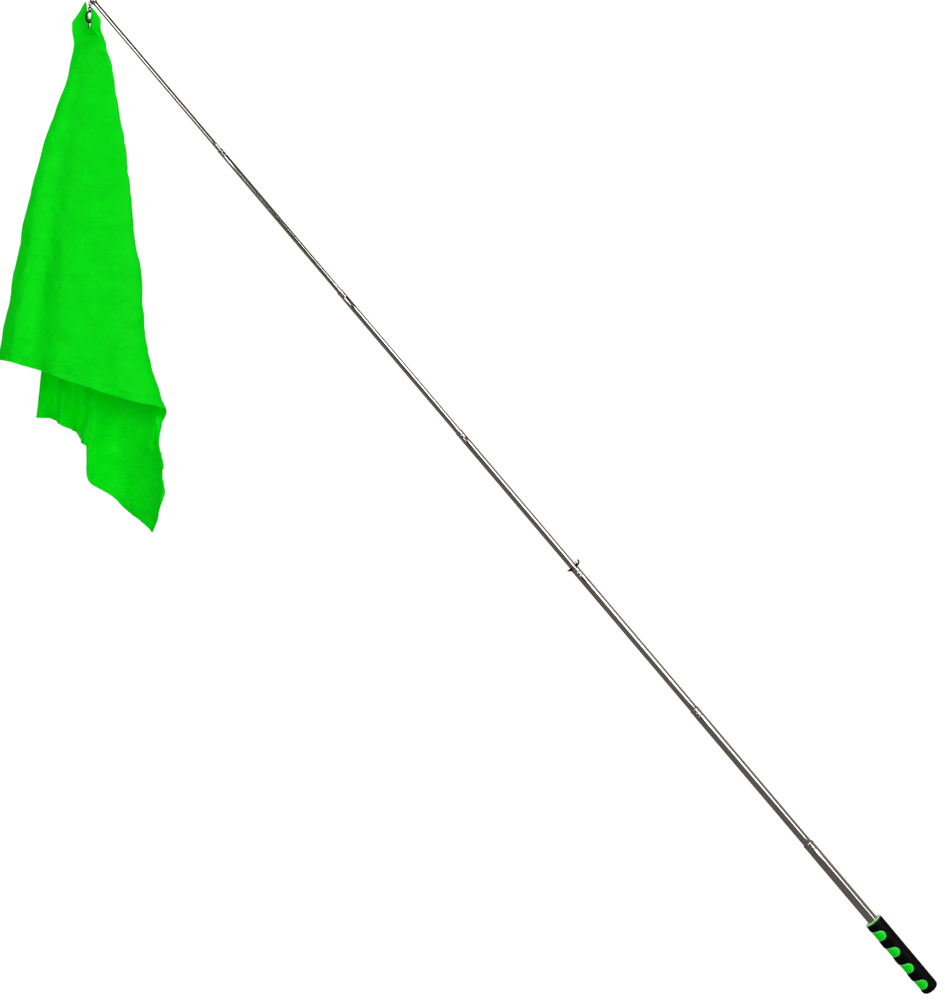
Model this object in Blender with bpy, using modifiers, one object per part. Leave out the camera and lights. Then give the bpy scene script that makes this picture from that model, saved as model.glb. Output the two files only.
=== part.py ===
"""Telescopic hand flagpole with a cloth flag on a snap hook.

The pole leans as it is carried, tip up and to the left, in the XZ plane.
The origin is the flat end of the grip, and +Z is up. Units are metres.
Pieces on the pole are modelled along a local +Z that runs from grip to tip,
with the finger side of the grip facing local -X.
"""
import math

import bmesh
import bpy
from mathutils import Matrix, Vector

MM = 0.001

# Pole
LEAN = math.radians(49.7)          # pole above the horizontal
BASE_DIAMETER = 13.2 * MM
BASE_WALL = 0.75 * MM
WALL = 0.35 * MM
SLIDE_GAP = 0.25 * MM              # radial clearance between nested tubes
SECOND_DIAMETER = 11.2 * MM
EXPOSED = [124 * MM, 216 * MM, 226 * MM, 221 * MM, 226 * MM, 228 * MM, 234.5 * MM]
INSERTION = 18 * MM                # what stays inside the tube below
NECK_LENGTH = 9 * MM               # swaged end that carries the friction sleeve
NECK_STEP = 0.6 * MM
LIP = 0.25 * MM                    # rolled mouth, proud of the tube
GROOVES = [5.0 * MM, 10.0 * MM]    # crimp grooves, measured down from a mouth
GROOVE_DEPTH = 0.15 * MM
GROOVE_WIDTH = 1.2 * MM
TUBE_SIDES = 20

# Grip
GRIP_LENGTH = 112 * MM
GRIP_TOP_RADIUS = 11.5 * MM
GRIP_END_RADIUS = 10.9 * MM
GRIP_SKIN = 1.4 * MM
GRIP_FLAT = 5.0 * MM               # radius of the flat at the domed end
GRIP_DOME = 6.0 * MM
GRIP_FLOOR = 3.5 * MM
RIM_HEIGHT = 2.2 * MM
WINDOWS = 4
FIRST_WINDOW = 18.2 * MM           # centre of the top window, down from the top
WINDOW_PITCH = 26.2 * MM
WINDOW_RADIUS = 6.6 * MM
WINDOW_REACH = 4.9 * MM            # centre of the round end, to the finger side
WINDOW_SLANT = math.radians(8)
WINDOW_FLARE = 0.2                 # how much a window widens toward the finger side
GAP = 0.3 * MM                     # between pieces that touch

# Tip, link and hook, hanging in world axes from the eye
BALL_RADIUS = 4.3 * MM
EYE_OFFSET = 5.4 * MM
EYE_RADIUS, EYE_WIRE = 1.9 * MM, 0.6 * MM
LINK_RADIUS, LINK_WIRE = 2.6 * MM, 0.5 * MM
HOOK_EYE_RADIUS, HOOK_EYE_WIRE = 1.9 * MM, 0.7 * MM
HOOK_WIRE = 1.25 * MM
LOOP_WIDTH, LOOP_HEIGHT = 5.0 * MM, 6.6 * MM   # half sizes of the loop's centreline
WIRE_START = math.radians(78)      # the hook's wire runs from here, anticlockwise, to its nose
SHOULDER = math.radians(80)        # where the pivot's bridge meets the wire
GATE_TOP, NOSE = math.radians(55), math.radians(-10)
GATE_END = NOSE + 0.19             # short of the nose, so that the gate's corner clears it
GATE_BOW = 1.1 * MM
GATE_WIRE = 1.2 * MM
LUG_RADIUS, LUG_WIDTH = 1.1 * MM, 1.0 * MM
BRIDGE_HEIGHT = 1.7 * MM
FORK_WIDTH, FORK_DEPTH = 1.6 * MM, 1.9 * MM    # slot in the gate's upper end
PIN_RADIUS, PIN_LENGTH = 0.5 * MM, 2.2 * MM
BALL_STAND = 5.2 * MM              # ball's centre above the mouth of tube 7
SHANK = 8 * MM

# Grommet and flag
HOLE_RADIUS = 4.5 * MM
FLANGE_RADIUS = 6.5 * MM
FLANGE = 0.4 * MM
BARREL_WALL = 0.5 * MM
CLOTH = 0.5 * MM
HANG_GAP = 0.9 * MM                # hook wire to the top of the grommet's hole
FLAG_SHORT, FLAG_LONG = 457 * MM, 508 * MM
CORNER = 21 * MM                   # grommet's centre, in from both edges of the corner
CREASED = 0.965                    # share of a flat length that is left when it hangs in creases


# ---------------------------------------------------------------- scene set-up
def new_collection(name):
    group = bpy.data.collections.new(name)
    bpy.context.scene.collection.children.link(group)
    return group


for old in list(bpy.data.objects):
    bpy.data.objects.remove(old, do_unlink=True)
PARTS = new_collection("telescopic_flagpole")
CUTTERS = new_collection("cutters")


def material(name, colour, roughness, metallic=0.0):
    made = bpy.data.materials.new(name)
    made.use_nodes = True
    shader = made.node_tree.nodes["Principled BSDF"]
    shader.inputs["Base Color"].default_value = (*colour, 1)
    shader.inputs["Roughness"].default_value = roughness
    shader.inputs["Metallic"].default_value = metallic
    return made


STEEL = material("polished_steel", (0.62, 0.58, 0.54), 0.18, 1.0)
BRONZE = material("spring_bronze", (0.70, 0.45, 0.22), 0.35, 1.0)
BLACK_METAL = material("black_metal", (0.012, 0.012, 0.012), 0.3, 0.0)
NICKEL = material("nickel", (0.75, 0.78, 0.72), 0.25, 1.0)
BLACK_RUBBER = material("black_rubber", (0.008, 0.008, 0.009), 0.55)
GREEN_RUBBER = material("green_rubber", (0.0, 0.85, 0.02), 0.45)
BLACK_PLASTIC = material("black_plastic", (0.01, 0.01, 0.01), 0.4)
GREEN_CLOTH = material("green_cloth", (0.0, 0.75, 0.01), 0.6)

POLE = bpy.data.objects.new("pole_axis", None)
PARTS.objects.link(POLE)
POLE.rotation_euler = (0, LEAN - math.pi / 2, 0)


# ---------------------------------------------------------------- shape helpers
def add(name, data, look=None, parent=None, place=(0, 0, 0), turn=(0, 0, 0)):
    """A named object among the parts, or among the cutters if it has no look."""
    made = bpy.data.objects.new(name, data)
    (PARTS if look else CUTTERS).objects.link(made)
    made.parent = parent
    made.location = place
    made.rotation_euler = turn
    if look:
        data.materials.append(look)
    else:
        made.hide_render = True
        made.display_type = "WIRE"
    return made


def smooth(mesh, angle=35):
    mesh.shade_smooth()
    mesh.set_sharp_from_angle(angle=math.radians(angle))


def turned(name, profile, look=None, parent=POLE, place=(0, 0, 0), closed=True, sides=TUBE_SIDES):
    """A turned solid. The profile's (radius, height) points run down the outer side."""
    mesh = bpy.data.meshes.new(name)
    edges = [(i, i + 1) for i in range(len(profile) - 1)]
    if closed:
        edges.append((len(profile) - 1, 0))
    mesh.from_pydata([(r, 0, z) for r, z in profile], edges, [])
    made = add(name, mesh, look, parent, place)
    screw = made.modifiers.new("turn", "SCREW")
    screw.steps = screw.render_steps = sides
    screw.use_merge_vertices = True
    screw.merge_threshold = 0.00001
    screw.use_smooth_shade = True
    return made


def wire(name, points, radius, look=None, parent=None, place=(0, 0, 0), ring=False):
    """A round wire along the points, made a mesh so that it can be cut and joined."""
    curve = bpy.data.curves.new(name, "CURVE")
    curve.dimensions = "3D"
    curve.bevel_depth = radius
    curve.bevel_resolution = 2
    curve.use_fill_caps = True
    spline = curve.splines.new("POLY")
    spline.points.add(len(points) - 1)
    for point, where in zip(spline.points, points):
        point.co = (*where, 1)
    spline.use_cyclic_u = ring
    source = add(name + "_path", curve)
    bpy.context.view_layer.update()
    seen = source.evaluated_get(bpy.context.evaluated_depsgraph_get())
    mesh = bpy.data.meshes.new_from_object(seen)
    bpy.data.objects.remove(source, do_unlink=True)
    shell = bmesh.new()
    shell.from_mesh(mesh)
    bmesh.ops.remove_doubles(shell, verts=shell.verts, dist=0.000005)
    bmesh.ops.recalc_face_normals(shell, faces=shell.faces)
    shell.to_mesh(mesh)
    shell.free()
    smooth(mesh)
    return add(name, mesh, look, parent, place)


def primitive(name, make, look=None, parent=None, place=(0, 0, 0), turn=(0, 0, 0)):
    """An object whose mesh is filled by make(bmesh)."""
    shell = bmesh.new()
    make(shell)
    mesh = bpy.data.meshes.new(name)
    shell.to_mesh(mesh)
    shell.free()
    smooth(mesh)
    return add(name, mesh, look, parent, place, turn)


def cylinder(name, radius, length, look=None, parent=None, place=(0, 0, 0), turn=(0, 0, 0), sides=16):
    def make(shell):
        bmesh.ops.create_cone(shell, cap_ends=True, segments=sides,
                              radius1=radius, radius2=radius, depth=length)
    return primitive(name, make, look, parent, place, turn)


def box(name, size, look=None, parent=None, place=(0, 0, 0), turn=(0, 0, 0)):
    def make(shell):
        bmesh.ops.create_cube(shell, size=1, matrix=Matrix.Diagonal((*size, 1)))
    return primitive(name, make, look, parent, place, turn)


def boolean(target, tool, operation):
    step = target.modifiers.new(operation.lower(), "BOOLEAN")
    step.operation = operation
    step.solver = "EXACT"
    step.object = tool


def ring_points(radius, normal, count=20):
    """Points round a circle about the origin, in the plane across the normal."""
    turn = Vector((0, 0, 1)).rotation_difference(Vector(normal))
    return [turn @ Vector((radius * math.cos(a), radius * math.sin(a), 0))
            for a in (2 * math.pi * i / count for i in range(count))]


# ---------------------------------------------------------------- telescopic pole
def diameter(number):
    """Outer diameter of tube 1 (the base) to 7 (the tip)."""
    if number == 1:
        return BASE_DIAMETER
    return SECOND_DIAMETER - (number - 2) * 2 * (WALL + SLIDE_GAP)


def mouth(number):
    """Height of a tube's upper end above the grip's flat end, pole drawn out."""
    return GRIP_LENGTH + sum(EXPOSED[:number])


def foot(number):
    """Height of a tube's lower end. Tube 1 stands in the grip."""
    return GRIP_FLOOR + 2.5 * MM if number == 1 else mouth(number - 1) - INSERTION


def grooved(outer, top):
    """Outer side of a tube's mouth, from the rolled lip down past the crimp grooves."""
    points = [(outer + 0.4 * LIP, top), (outer + LIP, top - 0.4 * MM),
              (outer + LIP, top - 1.4 * MM), (outer, top - 1.8 * MM)]
    for down in GROOVES:
        centre = top - down
        points += [(outer, centre + GROOVE_WIDTH / 2), (outer - GROOVE_DEPTH, centre),
                   (outer, centre - GROOVE_WIDTH / 2)]
    return points


def make_tube(number):
    outer = diameter(number) / 2
    wall = BASE_WALL if number == 1 else WALL
    length = mouth(number) - foot(number)
    profile = grooved(outer, length) if number < 7 else [(outer, length)]
    if number > 1:
        neck = outer - NECK_STEP
        profile += [(outer, NECK_LENGTH + 1 * MM), (neck, NECK_LENGTH), (neck, 0),
                    (neck - WALL, 0), (neck - WALL, NECK_LENGTH), (outer - WALL, NECK_LENGTH + 1 * MM)]
    else:
        profile += [(outer, 0), (outer - wall, 0)]
    profile.append((outer - wall, length))
    turned(f"tube_{number}", profile, STEEL, place=(0, 0, foot(number)))


def make_sleeve(number):
    """Split spring sleeve round the necked end, which rubs in the tube below."""
    inner = diameter(number) / 2 - NECK_STEP + SLIDE_GAP
    outer = inner + 0.3 * MM
    low, high = 0.8 * MM, NECK_LENGTH - 0.8 * MM
    sleeve = turned(f"friction_sleeve_{number}", [(outer, high), (outer, low), (inner, low), (inner, high)],
                    BRONZE, place=(0, 0, foot(number)))
    slit = box(f"sleeve_slit_{number}", (2 * outer, 1.0 * MM, 2 * NECK_LENGTH),
               parent=POLE, place=(outer, 0, foot(number) + NECK_LENGTH / 2))
    boolean(sleeve, slit, "DIFFERENCE")


def make_base_plug():
    """Plastic plug that closes the lower end of tube 1 inside the grip."""
    bore = BASE_DIAMETER / 2 - BASE_WALL
    seat = GRIP_FLOOR + GAP
    rim = foot(1) - GAP
    turned("base_plug", [(0, 14 * MM), (bore - 1.2 * MM, 14 * MM), (bore - GAP, 12 * MM),
                         (bore - GAP, rim), (BASE_DIAMETER / 2, rim), (BASE_DIAMETER / 2, seat), (0, seat)],
           BLACK_PLASTIC, closed=False)


# ---------------------------------------------------------------- grip
def grip_radius(height):
    """Outer radius of the grip, which narrows a little to its lower end."""
    return GRIP_END_RADIUS + (GRIP_TOP_RADIUS - GRIP_END_RADIUS) * height / GRIP_LENGTH


def window_cutter(number):
    """A flat bar with a round end, which cuts one finger window from side to side."""
    curve = bpy.data.curves.new("window", "CURVE")
    curve.dimensions = "2D"
    curve.fill_mode = "BOTH"
    curve.extrude = 2 * GRIP_TOP_RADIUS
    spline = curve.splines.new("POLY")
    arc = [(WINDOW_RADIUS * math.cos(a), WINDOW_RADIUS * math.sin(a))
           for a in (math.pi * (i / 10 - 0.5) for i in range(11))]
    deep = 2 * GRIP_TOP_RADIUS
    wide = WINDOW_RADIUS + WINDOW_FLARE * deep
    outline = [(-deep, -wide), *arc, (-deep, wide)]
    spline.points.add(len(outline) - 1)
    for point, (x, z) in zip(spline.points, outline):
        point.co = (x, z, 0, 1)
    spline.use_cyclic_u = True
    source = add("window_path", curve)
    bpy.context.view_layer.update()
    seen = source.evaluated_get(bpy.context.evaluated_depsgraph_get())
    mesh = bpy.data.meshes.new_from_object(seen)
    bpy.data.objects.remove(source, do_unlink=True)
    shell = bmesh.new()
    shell.from_mesh(mesh)
    bmesh.ops.remove_doubles(shell, verts=shell.verts, dist=0.00001)
    shell.to_mesh(mesh)
    shell.free()
    height = GRIP_LENGTH - FIRST_WINDOW - number * WINDOW_PITCH
    return add(f"window_cutter_{number + 1}", mesh, parent=POLE, place=(-WINDOW_REACH, 0, height),
               turn=(math.pi / 2, WINDOW_SLANT, 0))


def make_grip():
    sleeve_top = GRIP_LENGTH - RIM_HEIGHT
    round_off = grip_radius(0) - GRIP_FLAT
    dome = [(GRIP_FLAT + round_off * math.cos(a), GRIP_DOME * (1 - math.sin(a)))
            for a in (math.pi / 2 * i / 5 for i in range(6))]
    inside = [(0, GRIP_FLOOR), (grip_radius(0) - GRIP_SKIN - 2 * MM, GRIP_FLOOR),
              (grip_radius(0) - GRIP_SKIN, GRIP_DOME), (grip_radius(sleeve_top) - GRIP_SKIN, sleeve_top)]
    rounded = [(grip_radius(sleeve_top) - 0.5 * MM, sleeve_top),
               (grip_radius(sleeve_top), sleeve_top - 0.6 * MM)]
    sleeve = turned("grip_sleeve", [*inside, *rounded, *dome, (0, 0)], BLACK_RUBBER, closed=False, sides=32)
    for number in range(WINDOWS):
        boolean(sleeve, window_cutter(number), "DIFFERENCE")

    bore = BASE_DIAMETER / 2 + GAP
    low = GRIP_FLOOR + GAP
    skin_gap = GRIP_SKIN + GAP
    turned("grip_core",
           [(bore + 0.6 * MM, GRIP_LENGTH), (grip_radius(GRIP_LENGTH) - 0.8 * MM, GRIP_LENGTH),
            (grip_radius(GRIP_LENGTH), GRIP_LENGTH - 0.8 * MM),
            (grip_radius(GRIP_LENGTH), sleeve_top + GAP),
            (grip_radius(sleeve_top) - skin_gap, sleeve_top + GAP),
            (grip_radius(0) - skin_gap, GRIP_DOME + GAP),
            (grip_radius(0) - skin_gap - 2.2 * MM, low), (bore, low), (bore, GRIP_LENGTH - 0.6 * MM)],
           GREEN_RUBBER, sides=32)


# ---------------------------------------------------------------- tip, link and hook
ALONG = Vector((-math.cos(LEAN), 0, math.sin(LEAN)))
FINGER_SIDE = Vector((-math.sin(LEAN), 0, -math.cos(LEAN)))
BALL_HEIGHT = mouth(7) + BALL_STAND
BALL = ALONG * BALL_HEIGHT
EYE = BALL + FINGER_SIDE * EYE_OFFSET
DOWN = Vector((0, 0, -1))
LINK = EYE + DOWN * (EYE_RADIUS - EYE_WIRE - LINK_WIRE - GAP + LINK_RADIUS)
HOOK_EYE = LINK + DOWN * (LINK_RADIUS - LINK_WIRE - GAP - HOOK_EYE_WIRE + HOOK_EYE_RADIUS)
LOOP = HOOK_EYE + DOWN * (HOOK_EYE_RADIUS + 1.5 * MM + LOOP_HEIGHT)
HANG = LOOP + DOWN * LOOP_HEIGHT
GROMMET = HANG + DOWN * (HOLE_RADIUS - HOOK_WIRE - HANG_GAP)


def on_loop(angle):
    return Vector((LOOP_WIDTH * math.cos(angle), 0, LOOP_HEIGHT * math.sin(angle)))


def loop_arc(start, end, count):
    return [on_loop(start + (end - start) * i / (count - 1)) for i in range(count)]


def make_tip():
    """Ball on a shank that plugs tube 7, with a side eye for the link."""
    shank = diameter(7) / 2 - WALL - GAP
    collar = diameter(7) / 2 + 0.3 * MM
    under = GAP - BALL_STAND
    sweep = math.radians(147)
    ball = [(BALL_RADIUS * math.cos(a), BALL_RADIUS * math.sin(a))
            for a in (math.pi / 2 - sweep * i / 10 for i in range(11))]
    ball[0] = (0, BALL_RADIUS)
    profile = [*ball, (collar, ball[-1][1] - 0.2 * MM), (collar, under), (shank, under),
               (shank, under - SHANK), (0, under - SHANK)]
    tip = turned("tip_ball", profile, STEEL, place=(0, 0, BALL_HEIGHT), closed=False)
    eye = wire("tip_eye", ring_points(EYE_RADIUS, (0, 1, 0)), EYE_WIRE, place=EYE, ring=True)
    boolean(tip, eye, "UNION")


def make_link():
    wire("link_ring", ring_points(LINK_RADIUS, (1, 0, 0)), LINK_WIRE, BLACK_METAL, place=LINK, ring=True)


def make_hook():
    pivot = on_loop(GATE_TOP)
    arc = loop_arc(WIRE_START, NOSE + 2 * math.pi, 24)
    body = wire("hook_body", arc, HOOK_WIRE, BLACK_METAL, place=LOOP)
    eye = wire("hook_eye", ring_points(HOOK_EYE_RADIUS, (0, 1, 0)), HOOK_EYE_WIRE, place=HOOK_EYE, ring=True)
    across = (math.pi / 2, 0, 0)
    lug = cylinder("hook_lug", LUG_RADIUS, LUG_WIDTH, place=LOOP + pivot, turn=across)
    shoulder = on_loop(SHOULDER)
    span = shoulder - pivot
    bridge = box("hook_bridge", (span.length + 0.8 * MM, LUG_WIDTH, BRIDGE_HEIGHT),
                 place=LOOP + (pivot + shoulder) / 2, turn=(0, -math.atan2(span.z, span.x), 0))
    hole = cylinder("pin_hole", PIN_RADIUS + 0.8 * GAP, 2 * PIN_LENGTH, place=LOOP + pivot,
                    turn=across, sides=12)
    for piece in (eye, lug, bridge):
        boolean(body, piece, "UNION")
    boolean(body, hole, "DIFFERENCE")

    chord = on_loop(GATE_END) - pivot
    out = chord.normalized()
    side = Vector((-out.z, 0, out.x))
    bow = [chord * t + side * (GATE_BOW * math.sin(math.pi * t)) for t in (i / 8 for i in range(9))]
    bow[0] = -out * LUG_RADIUS
    gate = wire("hook_gate", bow, GATE_WIRE, BLACK_METAL, place=LOOP + pivot)
    slot_length = 4 * FORK_DEPTH
    slot = box("gate_slot", (slot_length, FORK_WIDTH, 6 * MM),
               place=LOOP + pivot - out * (slot_length / 2 - FORK_DEPTH),
               turn=(0, -math.atan2(out.z, out.x), 0))
    boolean(gate, slot, "DIFFERENCE")
    boolean(gate, hole, "DIFFERENCE")
    cylinder("gate_pin", PIN_RADIUS, PIN_LENGTH, STEEL, place=LOOP + pivot, turn=across, sides=12)


# ---------------------------------------------------------------- flag and grommet
STRIP_HALF = Vector((3.9, -7.0, 0)) * MM   # half of the flat strip of cloth that holds the grommet
FACE = Vector((-STRIP_HALF.y, STRIP_HALF.x, 0)).normalized()    # grommet's axis
# Straight lines of the cloth from the grommet to the hem: the line's angle on the flat cloth,
# its lean to the right and its depth behind the hook as it hangs, all in degrees
PLEATS = [(-2.8, -14.9, -1.8), (10, -8.4, -3.6), (21.5, 2.2, -3.2), (28.5, 10.3, 0.4), (37.4, 9.1, 4.8),
          (48.2, 7.0, 3.0), (58.2, -0.5, 5.6), (69.5, -0.9, 2.4), (80, -4.2, 5.6), (92.5, -7.65, 3.4)]
# How much wider those leans are near the grommet: reach, share on the left, share on the right
WIDEN = [(75 * MM, 1.5, 2.25), (110 * MM, 1.45, 1.75), (200 * MM, 1.32, 1.3), (310 * MM, 1.14, 1.06),
         (420 * MM, 1.0, 1.0)]
# The same lines in the gathered corner: (x, y) in plan from the grommet, in mm, at three heights
GATHERS = [
    (-8 * MM, [(-23, 6.5), (-14, 7.4), (-6.5, 7.2), (-3.9, 7.0), (-1.56, 2.8), (1.17, -2.1), (3.9, -7.0),
               (6.5, -7.8), (10, -7.5), (14.5, -6.5)]),
    (-25 * MM, [(-20.5, 5), (-12, 1.5), (-2, -3), (6, -6.5), (10, -7.2), (14, -6.3), (17, -3.5),
                (18.5, 0.5), (17.5, 5.5), (14, 9)]),
    (-48 * MM, [(-24.5, 1), (-14, -3), (3, -5.5), (23, -4), (25.5, 1), (20, 4.5), (13, 6.5), (6, 8.5),
                (0, 9.5), (-8, 10)])]
TOP_EDGE = [4, 17, 29, 15, 8, 8, 18, 16, 11.5, 4]    # the corner's edge above the grommet, in mm


def widened(lean, reach):
    """A pleat's lean at a distance from the grommet."""
    for (near, *first), (far, *second) in zip(WIDEN, WIDEN[1:]):
        if reach <= far:
            share = max(0.0, (reach - near) / (far - near))
            side = 0 if lean < 0 else 1
            return lean * (first[side] + (second[side] - first[side]) * share)
    return lean


def cloth_point(number, reach):
    """A point of a pleat line, from the grommet."""
    angle, lean, depth = PLEATS[number]
    lean, depth = math.radians(widened(lean, reach)), math.radians(depth)
    level = math.cos(depth)
    return Vector((math.sin(lean) * level, math.sin(depth), -math.cos(lean) * level)) * reach


def hem_reach(number):
    """Distance from the grommet to the hem along a pleat line, as it hangs."""
    angle = math.radians(PLEATS[number][0])
    to_side = (FLAG_SHORT - CORNER) / max(math.cos(angle), 1e-6)
    to_bottom = (FLAG_LONG - CORNER) / max(math.sin(angle), 1e-6)
    return CREASED * min(to_side, to_bottom)


def make_flag():
    lines = range(len(PLEATS))
    beside = GATHERS[0][1]
    rows = [[Vector((*beside[i], TOP_EDGE[i])) * MM for i in lines]]
    for height, plan in GATHERS:
        rows.append([Vector((plan[i][0] * MM, plan[i][1] * MM, height)) for i in lines])
    near = WIDEN[0][0]
    for share in (0, 0.12, 0.3, 0.55, 0.8, 1.0):
        rows.append([cloth_point(i, near + share * (hem_reach(i) - near)) for i in lines])
    mesh = bpy.data.meshes.new("flag")
    shell = bmesh.new()
    grid = [[shell.verts.new(GROMMET + p - HANG) for p in row] for row in rows]
    for upper, lower in zip(grid, grid[1:]):
        for i in lines[:-1]:
            shell.faces.new((upper[i], lower[i], lower[i + 1], upper[i + 1]))
    shell.to_mesh(mesh)
    shell.free()
    flag = add("flag", mesh, GREEN_CLOTH, place=HANG)
    thick = flag.modifiers.new("cloth", "SOLIDIFY")
    thick.thickness = CLOTH
    thick.offset = 0
    hole = cylinder("grommet_hole", HOLE_RADIUS + BARREL_WALL + GAP, 5 * MM, place=GROMMET,
                    turn=FACE.to_track_quat("Z", "Y").to_euler(), sides=24)
    boolean(flag, hole, "DIFFERENCE")


def make_grommet():
    """An eyelet whose barrel passes through the cloth, and the washer it is set on."""
    turn = FACE.to_track_quat("Z", "Y").to_euler()
    inner, outer = HOLE_RADIUS, HOLE_RADIUS + BARREL_WALL
    face = CLOTH / 2 + GAP
    back = face + FLANGE
    eyelet = turned("grommet_eyelet",
                    [(inner + 0.3 * MM, back), (FLANGE_RADIUS, face + 0.1 * MM), (FLANGE_RADIUS, face),
                     (outer, face), (outer, -back), (inner, -back), (inner, back - 0.2 * MM)],
                    NICKEL, parent=None, place=GROMMET, sides=28)
    eyelet.rotation_euler = turn
    washer = turned("grommet_washer",
                    [(FLANGE_RADIUS, -face), (FLANGE_RADIUS, -face - 0.1 * MM), (outer + GAP, -back),
                     (outer + GAP, -face)],
                    NICKEL, parent=None, place=GROMMET, sides=28)
    washer.rotation_euler = turn


# ---------------------------------------------------------------- sliding clip
CLIP_WALL = 1.6 * MM
CLIP_LOW, CLIP_HIGH = 0.6 * MM, 4.2 * MM       # above the mouth of tube 3
CLIP_OPENING = 7.4 * MM                        # slot at the front, by which it snaps onto the tube
# Hook arm, its barb and the thumb arm: (x, z) points in mm from tube 3's mouth, and the radius
CLIP_ARMS = [([(5.6, 2.2), (7.4, 2.4), (8.8, 3.2), (9.6, 4.6), (9.7, 6.2)], 1.0 * MM),
             ([(6.0, 3.0), (6.2, 4.6), (5.9, 6.4)], 0.6 * MM),
             ([(-5.6, 2.6), (-6.8, 3.0), (-7.8, 3.8)], 1.0 * MM)]


def make_clip():
    """Open collar that snaps onto tube 4 and slides, with a barbed hook arm and a thumb arm."""
    seat = mouth(3)
    bore = diameter(4) / 2 + GAP
    outer = bore + CLIP_WALL
    low, high = CLIP_LOW, CLIP_HIGH
    clip = turned("pole_clip", [(outer - 0.4 * MM, high), (outer, high - 0.4 * MM), (outer, low + 0.4 * MM),
                                (outer - 0.4 * MM, low), (bore, low), (bore, high)],
                  BLACK_PLASTIC, place=(0, 0, seat), sides=24)
    for number, (points, radius) in enumerate(CLIP_ARMS):
        arm = wire(f"clip_arm_{number + 1}", [Vector((x, 0, z)) * MM for x, z in points], radius,
                   parent=POLE, place=(0, 0, seat))
        boolean(clip, arm, "UNION")
    slot = box("clip_slot", (CLIP_OPENING, 2 * outer, 4 * high), parent=POLE, place=(0, -outer, seat))
    boolean(clip, slot, "DIFFERENCE")


make_grip()
make_base_plug()
for tube_number in range(1, 8):
    make_tube(tube_number)
for tube_number in range(2, 8):
    make_sleeve(tube_number)
make_tip()
make_link()
make_hook()
make_flag()
make_grommet()
make_clip()
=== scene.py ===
import math

import bmesh
import bpy
import numpy as np
from mathutils import Matrix, Vector, noise


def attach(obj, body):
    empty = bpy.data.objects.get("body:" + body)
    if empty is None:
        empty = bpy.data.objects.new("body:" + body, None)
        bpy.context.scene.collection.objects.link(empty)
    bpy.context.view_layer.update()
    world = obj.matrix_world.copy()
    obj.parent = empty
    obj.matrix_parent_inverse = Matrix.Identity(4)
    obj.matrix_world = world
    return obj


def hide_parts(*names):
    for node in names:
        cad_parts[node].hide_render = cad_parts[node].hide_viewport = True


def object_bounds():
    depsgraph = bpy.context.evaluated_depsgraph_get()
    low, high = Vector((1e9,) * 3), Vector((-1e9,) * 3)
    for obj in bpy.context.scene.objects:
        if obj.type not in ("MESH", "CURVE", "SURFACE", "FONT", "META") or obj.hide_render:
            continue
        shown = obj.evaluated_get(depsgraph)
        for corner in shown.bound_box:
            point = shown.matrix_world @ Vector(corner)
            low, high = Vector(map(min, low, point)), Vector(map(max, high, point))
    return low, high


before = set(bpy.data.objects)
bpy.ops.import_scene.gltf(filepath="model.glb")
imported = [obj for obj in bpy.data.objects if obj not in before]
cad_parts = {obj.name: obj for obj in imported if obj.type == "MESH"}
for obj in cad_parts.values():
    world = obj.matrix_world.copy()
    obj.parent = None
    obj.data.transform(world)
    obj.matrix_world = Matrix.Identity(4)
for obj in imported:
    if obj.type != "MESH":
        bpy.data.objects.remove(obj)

CAD_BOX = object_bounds()
MM = 0.001

# ------------------------------------------------ sizes, the same as in the part's source
LEAN = math.radians(49.7)          # pole above the horizontal
BASE_DIAMETER, SECOND_DIAMETER = 13.2 * MM, 11.2 * MM
BASE_WALL, WALL, SLIDE_GAP = 0.75 * MM, 0.35 * MM, 0.25 * MM
EXPOSED = [124 * MM, 216 * MM, 226 * MM, 221 * MM, 226 * MM, 228 * MM, 234.5 * MM]
INSERTION, NECK_LENGTH, NECK_STEP = 18 * MM, 9 * MM, 0.6 * MM
LIP, GROOVES = 0.25 * MM, (5 * MM, 10 * MM)
GRIP_LENGTH, GRIP_TOP_RADIUS, GRIP_END_RADIUS = 112 * MM, 11.5 * MM, 10.9 * MM
GRIP_SKIN, GRIP_FLAT, GRIP_DOME, GRIP_FLOOR = 1.4 * MM, 5.0 * MM, 6.0 * MM, 3.5 * MM
RIM_HEIGHT, GAP = 2.2 * MM, 0.3 * MM
WINDOWS, FIRST_WINDOW, WINDOW_PITCH = 4, 18.2 * MM, 26.2 * MM
WINDOW_RADIUS, WINDOW_REACH, WINDOW_SLANT = 6.6 * MM, 4.9 * MM, math.radians(8)
WINDOW_FLARE = 0.2                 # how much a window widens toward the finger side
BALL_RADIUS, EYE_OFFSET, EYE_RADIUS, EYE_WIRE = 4.3 * MM, 5.4 * MM, 1.9 * MM, 0.6 * MM
LINK_RADIUS, LINK_WIRE, HOOK_EYE_RADIUS, HOOK_EYE_WIRE = 2.6 * MM, 0.5 * MM, 1.9 * MM, 0.7 * MM
HOOK_WIRE, LOOP_WIDTH, LOOP_HEIGHT = 1.25 * MM, 5.0 * MM, 6.6 * MM
GATE_TOP, NOSE = math.radians(55), math.radians(-10)
GATE_END = NOSE + 0.19
HOLE_RADIUS, FLANGE_RADIUS, FLANGE, BARREL_WALL = 4.5 * MM, 6.5 * MM, 0.4 * MM, 0.5 * MM
CLOTH, HANG_GAP = 0.5 * MM, 0.9 * MM
FLAG_SHORT, FLAG_LONG = 457 * MM, 508 * MM
CORNER = 21 * MM                   # grommet's centre, in from both edges of the corner
BALL_STAND = 5.2 * MM              # ball's centre above the last tube's mouth
TUBE_STAND = 2.5 * MM              # base tube's lower end above the sleeve's floor
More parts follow.
